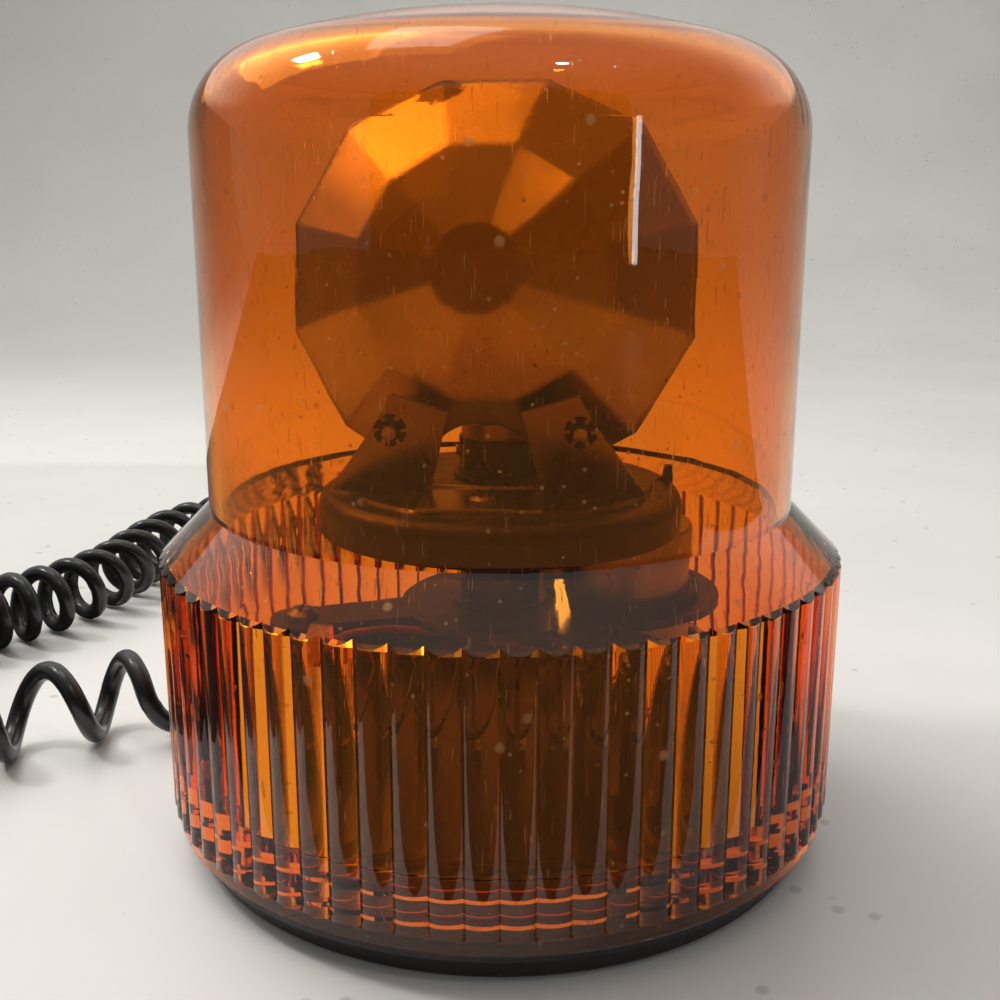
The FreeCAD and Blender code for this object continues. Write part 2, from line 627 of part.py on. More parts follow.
def make_bracket():
    """One sheet: a flange on the turntable, a fold, and two uprights that lean outwards."""
    foot = box((-11, FOLD_Y - 17, 0), (11, FOLD_Y, SHEET))
    fold = box((-29.6, FOLD_Y - SHEET, 0), (29.6, FOLD_Y, 1.0))
    bend = Part.makeCylinder(BEND_R, 22, Vec(-11, FOLD_Y, 0), Vec(1, 0, 0))
    fold = fold.fuse(bend.common(box((-11, FOLD_Y - 5, 0), (11, FOLD_Y + 5, 5))))
    uprights = [prism(leg_outline(sign, 0), Vec(0, -SHEET, 0)) for sign in (1, -1)]
    bracket = foot.fuse(fold).cut(disc(1.4, -1, 5, 0, FLANGE_SCREW_Y))
    bracket.translate(Vec(DISH_SIDE, 0, TABLE_PLATE_TOP))
    bracket.rotate(Vec(0, 0, 0), UP, TABLE_TURN)
    for upright in uprights:
        bracket = bracket.fuse(place_on_leg(upright))
    for sign in (1, -1):
        bracket = bracket.cut(stud(sign, STUD_R + 0.25, 5, -10))
    return bracket


def make_push_nuts():
    """Toothed spring washers pushed on to the dish's studs, outside the bracket."""
    nuts = []
    for sign in (1, -1):
        nut = stud(sign, NUT_R, -SHEET, -SHEET - 0.5).cut(stud(sign, STUD_R, 5, -10))
        for i in range(6):
            gap = turned(box((1.9, -3, -0.5), (4.5, 0, 0.5)), 60 * i, axis=Vec(0, 1, 0))
            nut = nut.cut(place_on_leg(moved(gap, sign * STUD_X, 0, STUD_Z)))
        nuts.append(nut)
    return Part.makeCompound(nuts)


def make_bracket_screw():
    screw = pan_head_screw(DISH_SIDE, FLANGE_SCREW_Y, TABLE_PLATE_TOP + SHEET, 1.3, 2.3, 1.2, 2.6)
    return turned(screw, TABLE_TURN)


# ---------------------------------------------------------------- wiring inside
def make_leads():
    """Cord jacket through the foot, and the leads from it to the motor and the lamp."""
    inner = polar(49, EXIT_ANGLE)
    jacket = [tuple(polar(61, EXIT_ANGLE, EXIT_Z)), tuple(polar(49, EXIT_ANGLE, EXIT_Z)),
              (inner.x, inner.y, 14.5)]
    export(route_tube(jacket, WIRE_R), "cord_jacket_end")
    grommet = lathe([(WIRE_R, 7.2), (4.4, 7.2), (4.4, FLOOR_LOW), (3.4, FLOOR_LOW), (3.4, FLOOR_TOP),
                     (4.6, FLOOR_TOP), (4.6, 11.6), (3.4, 12.2), (WIRE_R, 12.2)], inner.x, inner.y)
    export(grommet, "floor_grommet")
    x, y = MOTOR_X, MOTOR_Y
    live = [(inner.x + 1.1, inner.y, 14.5), (inner.x + 1.1, inner.y, 21), (-30, 20, 27),
            (-8, 19, 26), (12, 17, 21), (x - 1.8, y + 10.3, 17.5)]
    earth = [(inner.x - 1.1, inner.y, 14.5), (inner.x - 1.1, inner.y, 20), (-34, 8, 24),
             (-12, -9, 21), (10, -10, 18), (x - 1.8, y - 10.3, 17.0)]
    lamp = [(x - 5.9, y + 16.3, 19), (10, 23, 24), (-2, 15, 30), (-3, 4, 34), (3.0, 0, 38), (5.0, 0, 46)]
    export(route_tube(live, 0.95, "lead_live"), "lead_live")
    export(route_tube(earth, 0.95, "lead_earth"), "lead_earth")
    export(route_tube(lamp, 0.85, "lead_lamp"), "lead_lamp")


# ---------------------------------------------------------------- cord and plug
def make_cord():
    heading = polar(1, EXIT_ANGLE)
    mouth = polar(FOOT_R + 0.5, EXIT_ANGLE, EXIT_Z)
    relief = Part.makeCone(2.9, 2.65, 7.0, mouth, heading)
    neck = Part.makeCylinder(NECK_R, 6.9, mouth - heading * 6.9, heading)
    rear = Part.makeCylinder(3.6, 1.2, polar(HOLLOW_R - 1.4, EXIT_ANGLE, EXIT_Z + 0.8), heading)
    bore = Part.makeCylinder(WIRE_R, 40, mouth - heading * 20, heading)
    rear = rear.common(disc(200, PAD_T + 0.05, 20))
    export(relief.fuse(neck).fuse(rear).cut(bore), "cord_grommet")
    route = [Vec(px, py, CURL_Z) for px, py in CURL_ROUTE]
    curl_start = route[0]
    along = (route[1] - route[0]).normalize()
    tail_start = polar(61, EXIT_ANGLE, EXIT_Z)
    gap = (curl_start - tail_start).dot(along) / heading.dot(along)
    facing = Part.makeCylinder(CURL_R + 9, 60, curl_start, along)
    tail = Part.makeCylinder(WIRE_R, gap + 6, tail_start, heading).cut(facing)
    export(tail, "cord_tail")
    export(route_tube([tuple(p) for p in route], CURL_R, "curly_cord"), "curly_cord")


def plug_place(shape):
    """Carry a plug piece from its own frame, cord end at the origin and +X to the tip."""
    direction = Vec(CURL_ROUTE[-1][0] - CURL_ROUTE[-2][0], CURL_ROUTE[-1][1] - CURL_ROUTE[-2][1], 0)
    angle = math.degrees(math.atan2(direction.y, direction.x))
    shape.rotate(Vec(0, 0, 0), UP, angle)
    shape.translate(Vec(CURL_ROUTE[-1][0], CURL_ROUTE[-1][1], CURL_Z))
    return shape


def plug_turned(outline):
    """Lathe an outline of (radius, distance along the plug) about the plug's own axis."""
    shape = lathe(outline)
    shape.rotate(Vec(0, 0, 0), Vec(0, 1, 0), 90)
    return shape


def make_plug():
    tail = Part.makeCylinder(WIRE_R, 14, Vec(0, 0, 0), Vec(1, 0, 0))
    export(plug_place(tail), "plug_tail")
    boot = plug_turned([(WIRE_R, 6), (2.8, 6), (4.6, 18), (4.6, 20), (0, 20), (0, 14), (WIRE_R, 14)])
    export(plug_place(boot), "plug_boot")
    body = plug_turned([(0, 20), (8.6, 20), (10.6, 22.5), (10.6, 44), (10.1, 45), (10.1, 68), (7.4, 68),
                        (7.4, 26), (0, 26)])
    for i in range(12):
        groove = Part.makeCylinder(0.7, 16, Vec(25, 0, 10.9), Vec(1, 0, 0))
        body = body.cut(turned(groove, 15 + 30 * i, (0, 0, 0), Vec(1, 0, 0)))
    for sign in (1, -1):
        body = body.cut(box((50, -2.6, -20), (66, 2.6, 20)).common(
            box((40, -9, min(sign * 5, sign * 20)), (70, 9, max(sign * 5, sign * 20)))))
    export(plug_place(turned(body, 90, (0, 0, 0), Vec(1, 0, 0))), "plug_body")
    ring = plug_turned([(7.4, 68), (10.1, 68), (9.0, 76), (3.4, 76), (3.4, 74.5), (7.0, 74.5), (7.0, 66.5),
                        (7.4, 66.5)])
    export(plug_place(ring), "plug_nose_ring")
    tip = plug_turned([(0, 72), (5.6, 72), (5.6, 74.2), (3.0, 74.2), (3.0, 78.5)]
                      + corner(0, 78.5, 3.0, 0, 90))
    export(plug_place(tip), "plug_tip")
    fuse = plug_turned([(0, 41), (3.1, 41), (3.1, 71.9), (0, 71.9)])
    export(plug_place(fuse), "plug_fuse")
    coil = spring(3.4, 0.4, 26, 41, 6)
    coil.rotate(Vec(0, 0, 0), Vec(0, 1, 0), 90)
    export(plug_place(coil), "plug_spring")
    for sign, name in ((1, "plug_contact_left"), (-1, "plug_contact_right")):
        bow = [(50.4, 7.8), (53, 9.9), (58, 10.7), (63, 9.9), (65.6, 7.8),
               (65.6, 8.5), (63.2, 10.5), (58, 11.3), (52.8, 10.5), (50.4, 8.5)]
        strip = prism([Vec(px, sign * py, -2.3) for px, py in bow], Vec(0, 0, 4.6))
        export(plug_place(strip), name)


# ---------------------------------------------------------------- everything
def main():
    os.makedirs(OUT_DIR, exist_ok=True)
    export(make_lens(), "lens")
    export(make_lens_seal(), "lens_seal")
    export(make_base_pan(), "base_pan")
    make_magnet_parts()
    export(make_deck(), "chassis_plate")
    export(make_deck_screws(), "chassis_screws")
    make_socket_parts()
    make_bulb()
    export(turned(make_turntable(), TABLE_TURN), "turntable")
    export(make_bush(), "turntable_bush")
    make_gears()
    make_motor()
    export(make_reflector(), "reflector")
    export(make_bracket(), "reflector_bracket")
    export(make_push_nuts(), "push_nuts")
    export(make_bracket_screw(), "bracket_screw")
    make_leads()
    make_cord()
    make_plug()


main()
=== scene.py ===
import json
import math

import bpy
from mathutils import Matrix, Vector


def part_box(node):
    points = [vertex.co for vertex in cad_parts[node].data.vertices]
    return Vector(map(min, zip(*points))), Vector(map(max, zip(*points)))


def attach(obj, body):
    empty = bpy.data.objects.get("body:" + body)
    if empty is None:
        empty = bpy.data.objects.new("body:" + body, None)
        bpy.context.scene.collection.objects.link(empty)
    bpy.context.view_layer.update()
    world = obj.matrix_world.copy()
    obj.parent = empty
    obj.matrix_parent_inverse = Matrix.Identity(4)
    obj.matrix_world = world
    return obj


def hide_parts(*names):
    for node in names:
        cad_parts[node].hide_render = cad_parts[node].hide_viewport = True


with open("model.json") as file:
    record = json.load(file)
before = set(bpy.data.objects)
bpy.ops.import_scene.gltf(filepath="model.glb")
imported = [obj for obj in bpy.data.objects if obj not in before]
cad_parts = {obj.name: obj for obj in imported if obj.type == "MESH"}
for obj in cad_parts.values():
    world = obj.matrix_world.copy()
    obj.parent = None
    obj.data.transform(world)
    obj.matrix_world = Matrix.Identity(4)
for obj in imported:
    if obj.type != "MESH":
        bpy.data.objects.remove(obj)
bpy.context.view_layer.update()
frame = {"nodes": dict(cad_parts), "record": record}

# Looks of a revolving warning beacon: amber screw-on lens, faceted reflector on a turntable, black
# foot, curly cord and lighter-socket plug. Metres. +Z is up and the back of the reflector faces -Y.

UP = Vector((0, 0, 1))

# ---------------------------------------------------------------- places taken from the frame
LENS_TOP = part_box("lens")[1][2]
REFLECTOR_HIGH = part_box("reflector")[1]
STAIN = Vector((-0.0112, REFLECTOR_HIGH[1] - 0.0028, REFLECTOR_HIGH[2] - 0.0032))    # burnt mark near the rim

# ---------------------------------------------------------------- camera
CAMERA_BACK = 0.2278       # in front of the turntable's axis
CAMERA_HEIGHT = 0.1191
CAMERA_PITCH = 13.44       # degrees, downwards
CAMERA_LENS = 42.59        # mm
SENSOR_WIDTH = 36.0        # mm
NEAREST_SEEN = 0.005

# ---------------------------------------------------------------- cord, as in the CAD source
WIRE_R = 0.0022
WIRE_SIDES = 14
CURL_R = 0.0105            # outside of the coil
CURL_Z = 0.0107
EXIT_ANGLE = math.radians(155)
EXIT_DIRECTION = Vector((math.cos(EXIT_ANGLE), math.sin(EXIT_ANGLE), 0))
EXIT_R = 0.0655            # mouth of the strain relief
EXIT_Z = 0.0031
RELIEF_DEPTH = 0.004       # how far inside the mouth the line of the cord starts
RELIEF_STEP = 0.0008       # between its first points
CURL_ROUTE = [
    (-0.0665, 0.0310), (-0.0775, 0.0340), (-0.0890, 0.0315), (-0.1020, 0.0240), (-0.1160, 0.0145),
    (-0.1330, 0.0085), (-0.1510, 0.0125), (-0.1630, 0.0270), (-0.1660, 0.0470), (-0.1600, 0.0665),
    (-0.1470, 0.0845), (-0.1310, 0.1010), (-0.1210, 0.1240), (-0.1180, 0.1500), (-0.1130, 0.1770),
    (-0.0980, 0.1960), (-0.0750, 0.2010), (-0.0530, 0.1920),
]
ROUTE_FINENESS = 24        # points between two points of the route
# distance along the route, and the coil's pitch there
CURL_PITCH = [(0.0, 0.0180), (0.046, 0.0185), (0.060, 0.0105), (0.074, 0.0086), (0.150, 0.0080),
              (0.180, 0.0084), (0.205, 0.0115), (0.240, 0.0125), (0.345, 0.0110)]
CURL_OPENS = 0.020         # length over which the straight cord opens into the coil
TURNS_STOP = 0.8           # share of that length over which the turning dies away at the plug
CURL_START = 0.0025        # distance along the route at which the line joins it
CURL_END = 0.001           # distance before the route's end at which the turns are over
CURL_STEPS = 40            # points in a turn
CURL_CLEARANCE = 0.0001    # inside the room that the coil takes in the CAD
CURL_NARROWS = 0.035       # share by which the coil is narrower here and there
NARROWS_EVERY = 95         # radians a metre
CURL_LEANS = 0.0012        # how far its turns lean forwards and back
LEANS_EVERY = 70           # radians a metre
PLUG_REACH = 0.007         # straight end inside the plug's boot


# ---------------------------------------------------------------- camera
def make_camera():
    data = bpy.data.cameras.new("camera")
    data.lens = CAMERA_LENS
    data.sensor_width = SENSOR_WIDTH
    data.clip_start = NEAREST_SEEN
    camera = bpy.data.objects.new("camera", data)
    camera.location = (0.0, -CAMERA_BACK, CAMERA_HEIGHT)
    camera.rotation_euler = (math.radians(90 - CAMERA_PITCH), 0, 0)
    bpy.context.scene.collection.objects.link(camera)
    bpy.context.scene.camera = camera


make_camera()


# ---------------------------------------------------------------- mesh helpers
def add_mesh(name, points, faces, smooth=True):
    mesh = bpy.data.meshes.new(name)
    mesh.from_pydata([tuple(p) for p in points], [], faces)
    mesh.update()
    piece = bpy.data.objects.new(name, mesh)
    bpy.context.scene.collection.objects.link(piece)
    if smooth:
        mesh.polygons.foreach_set("use_smooth", [True] * len(mesh.polygons))
    return piece


def sweep(points, radius, sides):
    """Closed round tube along points, as its vertices and faces."""
    verts = []
    faces = []
    normal = None
    last = len(points) - 1
    for i, p in enumerate(points):
        tangent = (points[min(i + 1, last)] - points[max(i - 1, 0)]).normalized()
        if normal is None:
            normal = tangent.orthogonal().normalized()
        normal = (normal - tangent * normal.dot(tangent)).normalized()
        across = tangent.cross(normal)
        for k in range(sides):
            a = 2 * math.pi * k / sides
            verts.append(p + (normal * math.cos(a) + across * math.sin(a)) * radius)
    for i in range(last):
        for k in range(sides):
            a, b = i * sides + k, i * sides + (k + 1) % sides
            faces.append((a, b, b + sides, a + sides))
    faces.append(tuple(reversed(range(sides))))
    faces.append(tuple(range(last * sides, (last + 1) * sides)))
    return verts, faces


# ---------------------------------------------------------------- cord
def route_line():
    """Points of the smooth line through the coil's middle, with the distance along it."""
    curve = bpy.data.curves.new("route", "CURVE")
    curve.dimensions = "3D"
    curve.resolution_u = ROUTE_FINENESS
    spline = curve.splines.new("NURBS")
    spline.points.add(len(CURL_ROUTE) - 1)
    for point, (x, y) in zip(spline.points, CURL_ROUTE):
        point.co = (x, y, CURL_Z, 1)
    spline.order_u = 3
    spline.use_endpoint_u = True
    holder = bpy.data.objects.new("route", curve)
    bpy.context.scene.collection.objects.link(holder)
    bpy.context.view_layer.update()
    graph = bpy.context.evaluated_depsgraph_get()
    mesh = bpy.data.meshes.new_from_object(holder.evaluated_get(graph))
    points = [v.co.copy() for v in mesh.vertices]
    bpy.data.objects.remove(holder)
    bpy.data.meshes.remove(mesh)
    along = [0.0]
    for a, b in zip(points, points[1:]):
        along.append(along[-1] + (b - a).length)
    return points, along


def ease(x):
    """From 0 to 1 as x does, with a gentle start and stop, held at both ends."""
    x = max(0.0, min(1.0, x))
    return x * x * (3 - 2 * x)


def between(table, x):
    """Value at x in a table of (x, value), smoothed between its rows."""
    if x <= table[0][0]:
        return table[0][1]
    for (x0, v0), (x1, v1) in zip(table, table[1:]):
        if x <= x1:
            t = (x - x0) / (x1 - x0)
            return v0 + (v1 - v0) * t * t * (3 - 2 * t)
    return table[-1][1]


def cord_path():
    """Middle line of the cord: straight out of the foot along the coil's underside, round its turns, and
    in to the plug's axis. The turns start and stop gently, so that no bend is tighter than the coil."""
    points, along = route_line()
    total = along[-1]
    path = [EXIT_DIRECTION * (EXIT_R - RELIEF_DEPTH + RELIEF_STEP * i) + UP * EXIT_Z for i in range(4)]
    wide = CURL_R - WIRE_R - CURL_CLEARANCE
    s = CURL_START
    turn = -math.pi / 2
    row = 0
    while s < total - CURL_END:
        while row < len(along) - 2 and along[row + 1] < s:
            row += 1
        t = (s - along[row]) / (along[row + 1] - along[row])
        middle = points[row].lerp(points[row + 1], t)
        ahead = (points[row + 1] - points[row]).normalized()
        side = UP.cross(ahead)
        opening = ease(s / CURL_OPENS)
        closing = ease((total - s) / CURL_OPENS)
        radius = wide * closing * (1 - CURL_NARROWS * opening * (1 + math.sin(s * NARROWS_EVERY)) / 2)
        rise = (EXIT_Z - CURL_Z + wide) * (1 - opening)
        lean = CURL_LEANS * math.sin(s * LEANS_EVERY + 1.0) * opening * closing
        path.append(middle + side * radius * math.cos(turn) + UP * (rise + radius * math.sin(turn))
                    + ahead * lean * math.sin(turn))
        pitch = between(CURL_PITCH, s)
        step = pitch / CURL_STEPS
        s += step
        turn += 2 * math.pi * step / pitch * opening * ease((total - s) / (TURNS_STOP * CURL_OPENS))
    path.append(points[-1].copy())
    heading = (points[-1] - points[-2]).normalized()
    path.append(points[-1] + heading * PLUG_REACH)
    return path


def make_cord():
    path = cord_path()
    verts, faces = sweep(path, WIRE_R, WIRE_SIDES)
    cord = add_mesh("cord", verts, faces)
    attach(cord, "foot")
    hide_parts("cord_tail", "curly_cord", "plug_tail")
    return cord


CORD = make_cord()


# ---------------------------------------------------------------- material helpers
def new_material(name):
    material = bpy.data.materials.new(name)
    material.use_nodes = True
    tree = material.node_tree
    return material, tree, tree.nodes["Principled BSDF"]


def link(tree, value, target):
    """Join a socket to the target socket, or give the target a plain value."""
    if isinstance(value, bpy.types.NodeSocket):
        tree.links.new(value, target)
    else:
        target.default_value = value


def node(tree, kind, inputs=None, **settings):
    made = tree.nodes.new(kind)
    for key, value in settings.items():
        setattr(made, key, value)
    for key, value in (inputs or {}).items():
        link(tree, value, made.inputs[key])
    return made


def place(tree, stretch=(1, 1, 1), turn=(0, 0, 0)):
    """The piece's own coordinates, in metres, stretched to draw out a pattern."""
    coords = node(tree, "ShaderNodeTexCoord").outputs["Object"]
    mapping = node(tree, "ShaderNodeMapping", {"Vector": coords, "Scale": stretch, "Rotation": turn})
    return mapping.outputs["Vector"]


def separate(tree, vector):
    return node(tree, "ShaderNodeSeparateXYZ", {"Vector": vector}).outputs


def noise(tree, size, detail=4.0, rough=0.55, where=None, distortion=0.0):
    """Noise whose features are about size metres across."""
    made = node(tree, "ShaderNodeTexNoise",
                {"Vector": where or place(tree), "Scale": 1 / size, "Detail": detail, "Roughness": rough,
                 "Distortion": distortion})
    return made.outputs["Fac"]


def spread(tree, value, low, high, to_low=0.0, to_high=1.0, kind="SMOOTHSTEP"):
    """value from low..high to to_low..to_high, held at both ends."""
    made = node(tree, "ShaderNodeMapRange",
                {"Value": value, "From Min": low, "From Max": high, "To Min": to_low, "To Max": to_high},
                interpolation_type=kind)
    return made.outputs["Result"]


def maths(tree, operation, a, b, clamp=False):
    made = node(tree, "ShaderNodeMath", {0: a, 1: b}, operation=operation, use_clamp=clamp)
    return made.outputs["Value"]


def times(tree, a, b):
    return maths(tree, "MULTIPLY", a, b)


def larger(tree, a, b):
    return maths(tree, "MAXIMUM", a, b)


def blend_colour(tree, share, first, second):
    """From the first colour to the second, by share. A colour is three numbers or a socket."""
    made = node(tree, "ShaderNodeMix", data_type="RGBA", blend_type="MIX")
    for socket, value in (("Factor_Float", share), ("A_Color", first), ("B_Color", second)):
        target = next(i for i in made.inputs if i.identifier == socket)
        link(tree, (*value, 1) if isinstance(value, tuple) else value, target)
    return next(o for o in made.outputs if o.identifier == "Result_Color")


def bump(tree, height, distance, normal=None):
    inputs = {"Height": height, "Distance": distance, "Strength": 1.0}
    if normal is not None:
        inputs["Normal"] = normal
    return node(tree, "ShaderNodeBump", inputs).outputs["Normal"]


def upward(tree):
    """1 on faces that look up, where dust settles."""
    normal = node(tree, "ShaderNodeNewGeometry").outputs["Normal"]
    return spread(tree, separate(tree, normal)["Z"], 0.55, 0.95)


def specks(tree, size, share):
    """Small round specks, over about that share of the cells of a lattice of that size."""
    cells = node(tree, "ShaderNodeTexVoronoi", {"Vector": place(tree), "Scale": 1 / size})
    pick = node(tree, "ShaderNodeSeparateColor", {"Color": cells.outputs["Color"]}).outputs["Red"]
    chosen = spread(tree, pick, 1 - share, 1 - share + 0.02, kind="LINEAR")
    dot = spread(tree, cells.outputs["Distance"], 0.12, 0.26, 1.0, 0.0)
    return times(tree, chosen, dot)


def scratches(tree, width, length, share, turn):
    """Thin straight marks, drawn out along one direction."""
    where = place(tree, (1 / width, 1 / length, 1 / length), turn)
    made = node(tree, "ShaderNodeTexNoise", {"Vector": where, "Scale": 1.0, "Detail": 1.0, "Roughness": 0.5})
    return spread(tree, made.outputs["Fac"], 1 - share, 1 - share + 0.04)


# ---------------------------------------------------------------- materials
DUST = (0.30, 0.26, 0.22)
RUST = (0.10, 0.035, 0.012), (0.26, 0.10, 0.035)      # dark and light
SMEAR = (0.33, 0.27, 0.22)                            # dirt on bright metal
BURNT = (0.05, 0.03, 0.02)
AMBER = (0.97, 0.56, 0.205)
AMBER_DIRTY = (0.53, 0.25, 0.09)
AMBER_DEPTH = (0.998, 0.72, 0.0, 1)                   # what the thickness of the lens lets through
AMBER_DENSITY = 350.0
LENS_IOR = 1.58
WORN_FROM, WORN_TO = 0.018, 0.001                     # below the top of the lens
GLASS_IOR = 1.47

# slot: colour, roughness and, where it differs from plain_surface's own, what else it takes
PLAIN_SURFACES = {
    "black_moulding": ((0.010, 0.010, 0.010), 0.40, dict(dust=0.10, grain=0.0005, grain_depth=0.00001)),
    "black_rubber": ((0.022, 0.022, 0.023), 0.62, dict(dust=0.18, grain=0.0003)),
    "cord_jacket": ((0.012, 0.012, 0.013), 0.30, dict(dust=0.05, grain=0.0006, grain_depth=0.00001, coat=0.15)),
    "ferrite": ((0.09, 0.09, 0.095), 0.7, dict(dust=0.1, grain=0.0003)),
    "plated_steel": ((0.36, 0.345, 0.32), 0.36, dict(metallic=1.0, dust=0.08, rust=0.3, stretch=(1, 8, 1))),
    "spring_steel": ((0.035, 0.024, 0.018), 0.5, dict(metallic=0.25, dust=0.03, rust=0.45)),
    "black_enamel": ((0.010, 0.009, 0.008), 0.34, dict(dust=0.12, rust=0.12)),
    "brass": ((0.34, 0.24, 0.12), 0.42, dict(metallic=1.0, dust=0.1)),
    "bronze": ((0.48, 0.30, 0.17), 0.45, dict(metallic=1.0, dust=0.05)),
    "nylon": ((0.72, 0.69, 0.60), 0.45, dict(dust=0.2)),
    "phenolic": ((0.22, 0.11, 0.05), 0.5, dict(vary=0.3, dust=0.1, stretch=(1, 6, 1))),
    "tungsten": ((0.28, 0.27, 0.27), 0.45, dict(metallic=1.0, dust=0.0)),
    "copper": ((0.62, 0.26, 0.13), 0.3, dict(metallic=1.0, dust=0.0, stretch=(1, 1, 12))),
    "red_vinyl": ((0.45, 0.02, 0.015), 0.4, dict(dust=0.15)),
    "black_vinyl": ((0.02, 0.02, 0.02), 0.4, dict(dust=0.15)),
    "white_vinyl": ((0.62, 0.60, 0.56), 0.4, dict(dust=0.15)),
}


def plain_surface(name, colour, rough, metallic=0.0, vary=0.12, grain=0.0004, grain_depth=0.00002,
                  dust=0.25, rust=0.0, coat=0.0, stretch=(1, 1, 1)):
    """Opaque surface with uneven colour and gloss, a fine grain, dust on top and, on steel, rust."""
    material, tree, shader = new_material(name)
    cloud = noise(tree, 0.012, 5.0)
    fine = noise(tree, grain, 3.0, where=place(tree, stretch))
    darker = tuple(c * (1 - vary) for c in colour)
    lighter = tuple(min(1.0, c * (1 + vary)) for c in colour)
    tint = blend_colour(tree, spread(tree, cloud, 0.35, 0.65), darker, lighter)
    rough_map = spread(tree, noise(tree, 0.006, 6.0), 0.3, 0.7, rough * 0.8, min(1.0, rough * 1.25))
    shine = metallic
    if rust > 0:
        patch = spread(tree, noise(tree, 0.0035, 8.0, 0.7, distortion=0.6), 0.66 - 0.22 * rust, 0.74 - 0.2 * rust)
        tint = blend_colour(tree, patch, tint, blend_colour(tree, fine, *RUST))
        rough_map = larger(tree, rough_map, times(tree, patch, 0.85))
        shine = times(tree, spread(tree, patch, 0, 1, 1, 0, "LINEAR"), shine)
    if dust > 0:
        drift = spread(tree, noise(tree, 0.004, 6.0, 0.65), 0.35, 0.75, 0.25, 1.0)
        layer = times(tree, times(tree, upward(tree), drift), dust)
        layer = larger(tree, layer, times(tree, specks(tree, 0.0011, 0.22), min(1.0, dust * 1.4)))
        tint = blend_colour(tree, layer, tint, DUST)
        rough_map = larger(tree, rough_map, times(tree, layer, 0.9))
        if metallic > 0:
            shine = times(tree, spread(tree, layer, 0, 1, 1, 0, "LINEAR"), shine)
    link(tree, tint, shader.inputs["Base Color"])
    link(tree, rough_map, shader.inputs["Roughness"])
    link(tree, shine, shader.inputs["Metallic"])
    link(tree, bump(tree, fine, grain_depth), shader.inputs["Normal"])
    shader.inputs["Coat Weight"].default_value = coat
    shader.inputs["Coat Roughness"].default_value = 0.15
    return material


def amber_lens():
    """Clear amber polycarbonate, with dust specks, a worn dome and fine scratches outside."""
    material, tree, shader = new_material("amber_lens")
    haze = spread(tree, noise(tree, 0.03, 6.0, 0.6, distortion=0.4), 0.45, 0.75)
    marks = larger(tree, scratches(tree, 0.0004, 0.007, 0.27, (0.9, 0.5, 0.5)),
                   scratches(tree, 0.0004, 0.006, 0.27, (0.4, 1.3, -0.9)))
    fleck = larger(tree, specks(tree, 0.0016, 0.10), specks(tree, 0.0042, 0.06))
    dirt = larger(tree, times(tree, marks, 0.20), times(tree, fleck, 0.35))
    dirt = maths(tree, "ADD", dirt, times(tree, haze, 0.012), clamp=True)
    height = separate(tree, node(tree, "ShaderNodeTexCoord").outputs["Object"])["Z"]
    worn = spread(tree, height, LENS_TOP - WORN_FROM, LENS_TOP - WORN_TO, 0.0, 0.17)
    gloss = maths(tree, "ADD", times(tree, haze, 0.05), maths(tree, "ADD", worn, 0.018))
    link(tree, blend_colour(tree, dirt, AMBER, AMBER_DIRTY), shader.inputs["Base Color"])
    link(tree, spread(tree, dirt, 0, 1, 1.0, 0.25, "LINEAR"), shader.inputs["Transmission Weight"])
    link(tree, larger(tree, gloss, times(tree, dirt, 0.6)), shader.inputs["Roughness"])
    shader.inputs["IOR"].default_value = LENS_IOR
    ripple = bump(tree, noise(tree, 0.016, 2.0), 0.00006)
    link(tree, bump(tree, marks, 0.00001, normal=ripple), shader.inputs["Normal"])
    body = node(tree, "ShaderNodeVolumeAbsorption", {"Color": AMBER_DEPTH, "Density": AMBER_DENSITY})
    link(tree, body.outputs["Volume"], tree.nodes["Material Output"].inputs["Volume"])
    return material


def clear_glass():
    material, tree, shader = new_material("clear_glass")
    film = spread(tree, noise(tree, 0.006, 5.0), 0.4, 0.7)
    link(tree, blend_colour(tree, film, (1, 1, 1), (0.93, 0.92, 0.90)), shader.inputs["Base Color"])
    link(tree, spread(tree, film, 0, 1, 0.01, 0.08), shader.inputs["Roughness"])
    shader.inputs["Transmission Weight"].default_value = 0.98
    shader.inputs["IOR"].default_value = GLASS_IOR
    link(tree, bump(tree, noise(tree, 0.01, 2.0), 0.00002), shader.inputs["Normal"])
    return material


def bright_metal(name, colour, rough, wave, smudge, crease, stain=None):
    """Bright plated or metallised skin: slightly wavy, its creases rounded, with smudges and dust."""
    material, tree, shader = new_material(name)
    fleck = specks(tree, 0.0021, 0.05)
    dull = times(tree, spread(tree, noise(tree, 0.016, 3.0, 0.5), 0.45, 0.75), smudge)
    dirt = larger(tree, times(tree, dull, 0.35), times(tree, fleck, 0.6))
    soil = SMEAR
    if stain:
        near = node(tree, "ShaderNodeVectorMath", {0: place(tree), 1: stain}, operation="DISTANCE").outputs["Value"]
        ragged = times(tree, noise(tree, 0.0016, 5.0, 0.7), 0.006)
        burnt = spread(tree, maths(tree, "ADD", near, ragged), 0.0066, 0.0082, 0.9, 0.0)
        dirt = larger(tree, dirt, burnt)
        soil = blend_colour(tree, burnt, SMEAR, BURNT)
    link(tree, blend_colour(tree, dirt, colour, soil), shader.inputs["Base Color"])
    link(tree, spread(tree, dirt, 0, 1, 1.0, 0.35, "LINEAR"), shader.inputs["Metallic"])
    gloss = maths(tree, "ADD", times(tree, dull, 0.35), rough, clamp=True)
    link(tree, larger(tree, gloss, times(tree, fleck, 0.8)), shader.inputs["Roughness"])
    rounded = node(tree, "ShaderNodeBevel", {"Radius": crease}, samples=4).outputs["Normal"]
    link(tree, bump(tree, noise(tree, 0.03, 0.0), wave, normal=rounded), shader.inputs["Normal"])
    return material


